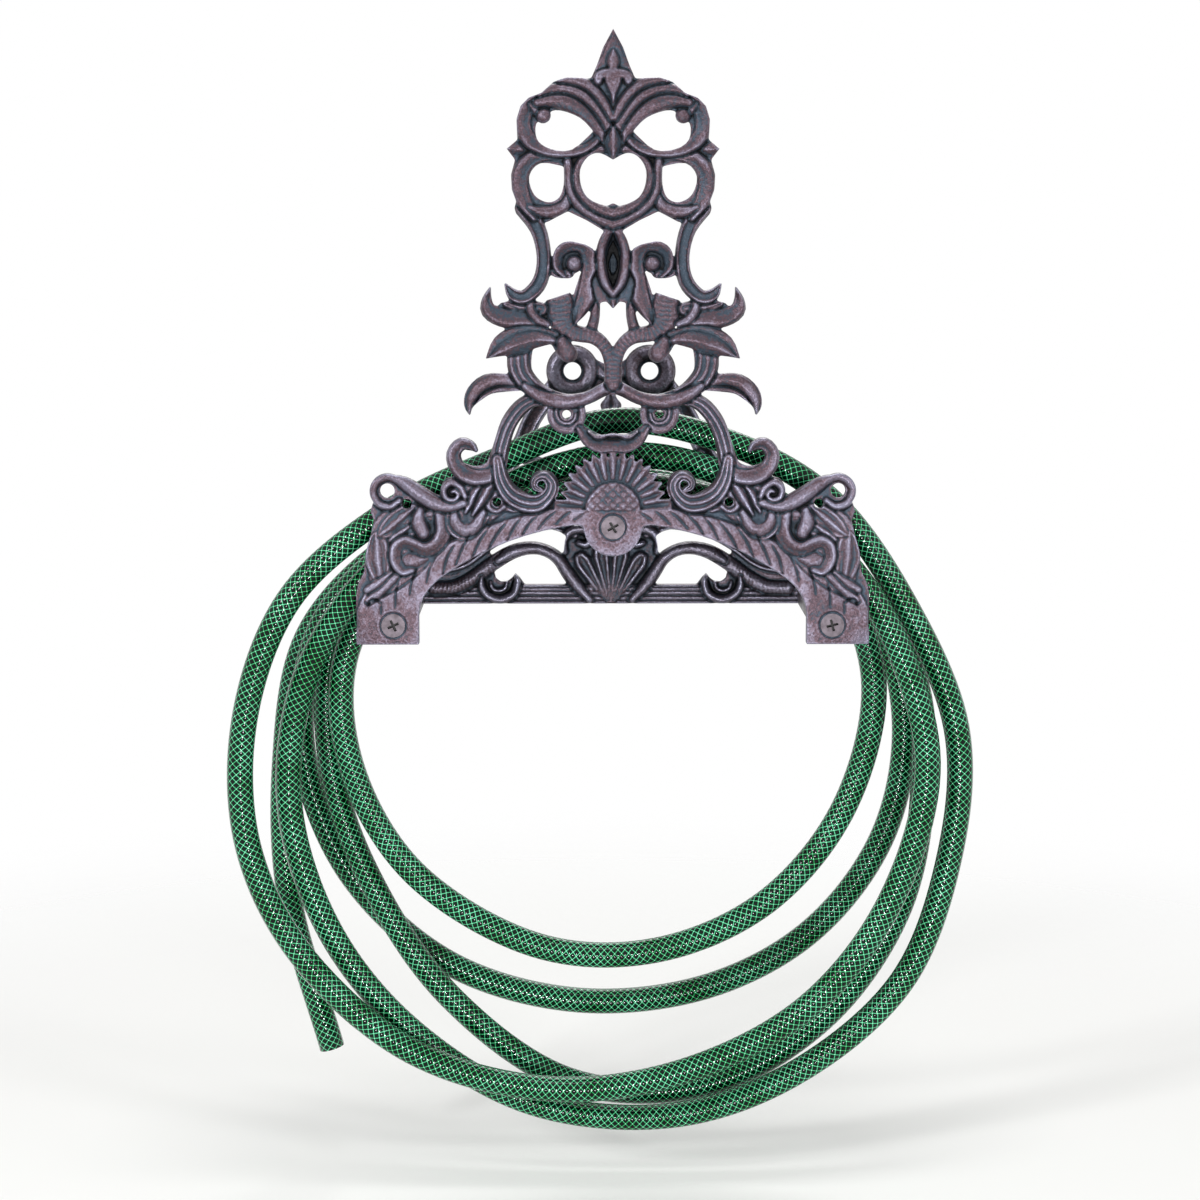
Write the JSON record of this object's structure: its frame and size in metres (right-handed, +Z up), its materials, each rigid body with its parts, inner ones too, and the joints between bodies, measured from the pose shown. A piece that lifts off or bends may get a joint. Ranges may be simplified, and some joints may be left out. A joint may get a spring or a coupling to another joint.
{
  "type": "hose holder",
  "caption": "Wall-mounted hose holder in ornate cast metal with an antique bronze finish, loaded with a coiled green braided garden hose.",
  "frame": {"origin": "midway between the two lower wall holes, on the back face of the wall plate", "axes": "+Z up; +Y out of the back face into the wall, so that the front of the holder faces -Y; +X to the right as seen from the front"},
  "size_m": [0.4662, 0.105, 0.6972],
  "materials": {
    "front_casting": "antique bronze patina over sand-cast iron, satin, rubbed bronze on the high points",
    "saddle_casting": "dark bronze patina, satin",
    "wall_casting": "dark bronze patina, satin, a little rubbed",
    "screws": "antiqued steel to match the castings",
    "hose": "bright green diamond braid in dark green vinyl under a clear glossy skin"
  },
  "bodies": {
    "root": {"front_plate": "front_casting", "saddle": "saddle_casting", "wall_plate": "wall_casting", "front_screws": "screws", "rear_screws": "screws", "garden_hose": "hose"}
  },
  "joints": []
}
